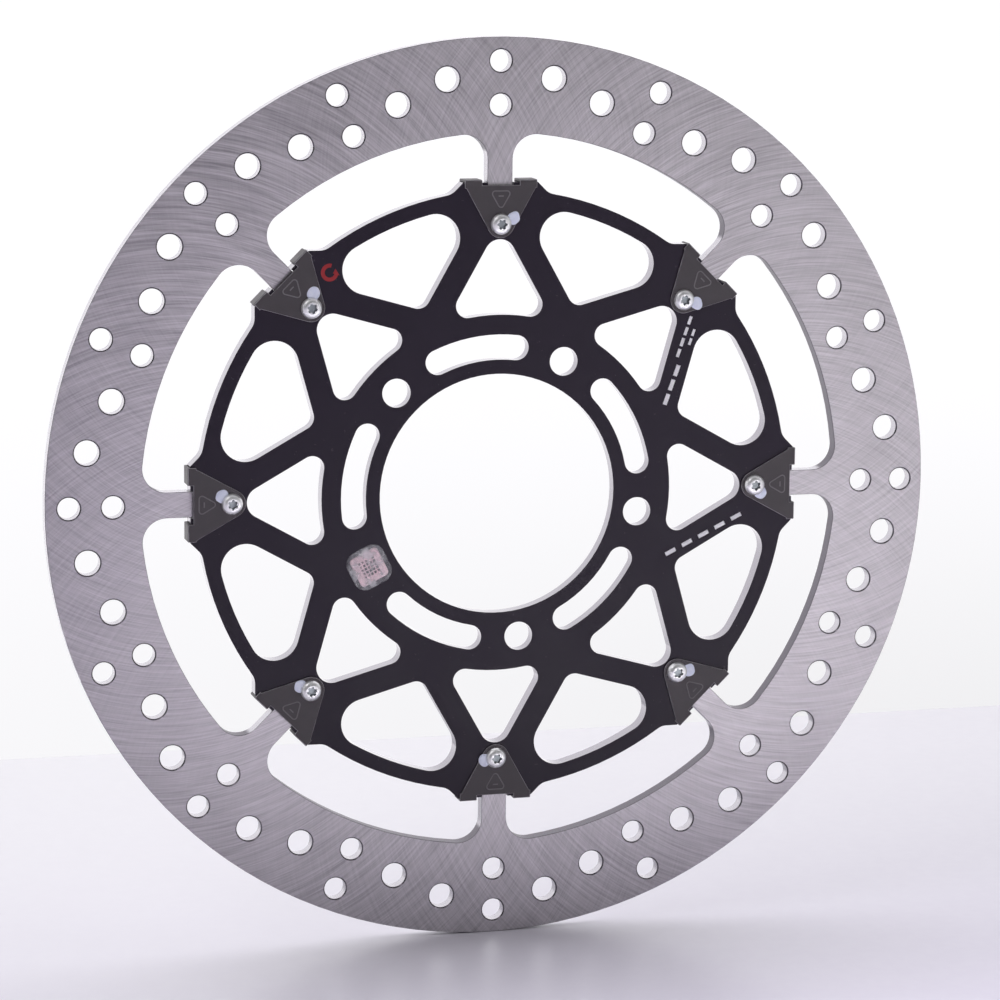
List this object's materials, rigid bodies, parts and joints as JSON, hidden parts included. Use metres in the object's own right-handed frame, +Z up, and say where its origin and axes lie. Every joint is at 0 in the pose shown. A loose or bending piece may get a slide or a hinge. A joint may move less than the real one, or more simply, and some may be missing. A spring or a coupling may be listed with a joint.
{
  "type": "brake disc rotor",
  "caption": "Floating motorcycle brake disc: drilled steel braking band on T-shaped drive tabs, held by screwed clips to a spoked black aluminium carrier with a bolted hub flange.",
  "frame": {"origin": "on the spin axis, at the carrier's hub seat, the face that is bolted against the wheel hub", "axes": "+Y along the spin axis, into the wheel, so the clip screws face -Y; +Z up through the first drive tab; +X to the right seen from the screw side"},
  "size_m": [0.33, 0.0142, 0.33],
  "materials": {
    "ground_steel": "surface-ground stainless steel with fine crossing arcs",
    "black_anodised": "satin black hard-anodised aluminium",
    "phosphated_sheet": "dark grey-brown phosphated spring sheet",
    "spring_sheet": "bright stainless spring sheet",
    "zinc_plate": "bright zinc-plated steel"
  },
  "bodies": {
    "carrier_assembly": {"carrier": "black_anodised", "retaining_clip_1": "phosphated_sheet", "retaining_clip_2": "phosphated_sheet", "retaining_clip_3": "phosphated_sheet", "retaining_clip_4": "phosphated_sheet", "retaining_clip_5": "phosphated_sheet", "retaining_clip_6": "phosphated_sheet", "retaining_clip_7": "phosphated_sheet", "retaining_clip_8": "phosphated_sheet", "backing_plate_1": "phosphated_sheet", "backing_plate_2": "phosphated_sheet", "backing_plate_3": "phosphated_sheet", "backing_plate_4": "phosphated_sheet", "backing_plate_5": "phosphated_sheet", "backing_plate_6": "phosphated_sheet", "backing_plate_7": "phosphated_sheet", "backing_plate_8": "phosphated_sheet", "clip_screws": "zinc_plate", "clip_washers": "zinc_plate", "clip_nuts": "zinc_plate"},
    "leaf_springs": {"antirattle_spring_1": "spring_sheet", "antirattle_spring_2": "spring_sheet", "antirattle_spring_3": "spring_sheet", "antirattle_spring_4": "spring_sheet", "antirattle_spring_5": "spring_sheet", "antirattle_spring_6": "spring_sheet", "antirattle_spring_7": "spring_sheet", "antirattle_spring_8": "spring_sheet"},
    "band": {"braking_band": "ground_steel"}
  },
  "joints": [
    {"name": "rotational_play", "type": "hinge", "parent": "carrier_assembly", "child": "leaf_springs", "pos_m": [0, 0, 0], "axis": [0, -1, 0], "range_deg": [-0.08, 0.08]},
    {"name": "axial_float", "type": "slide", "parent": "leaf_springs", "child": "band", "axis": [0, -1, 0], "range_m": [0, 0.0005], "stiffness_N_per_m": 20000, "springref_m": -0.001, "deforming": ["antirattle_spring_1", "antirattle_spring_2", "antirattle_spring_3", "antirattle_spring_4", "antirattle_spring_5", "antirattle_spring_6", "antirattle_spring_7", "antirattle_spring_8"]}
  ]
}
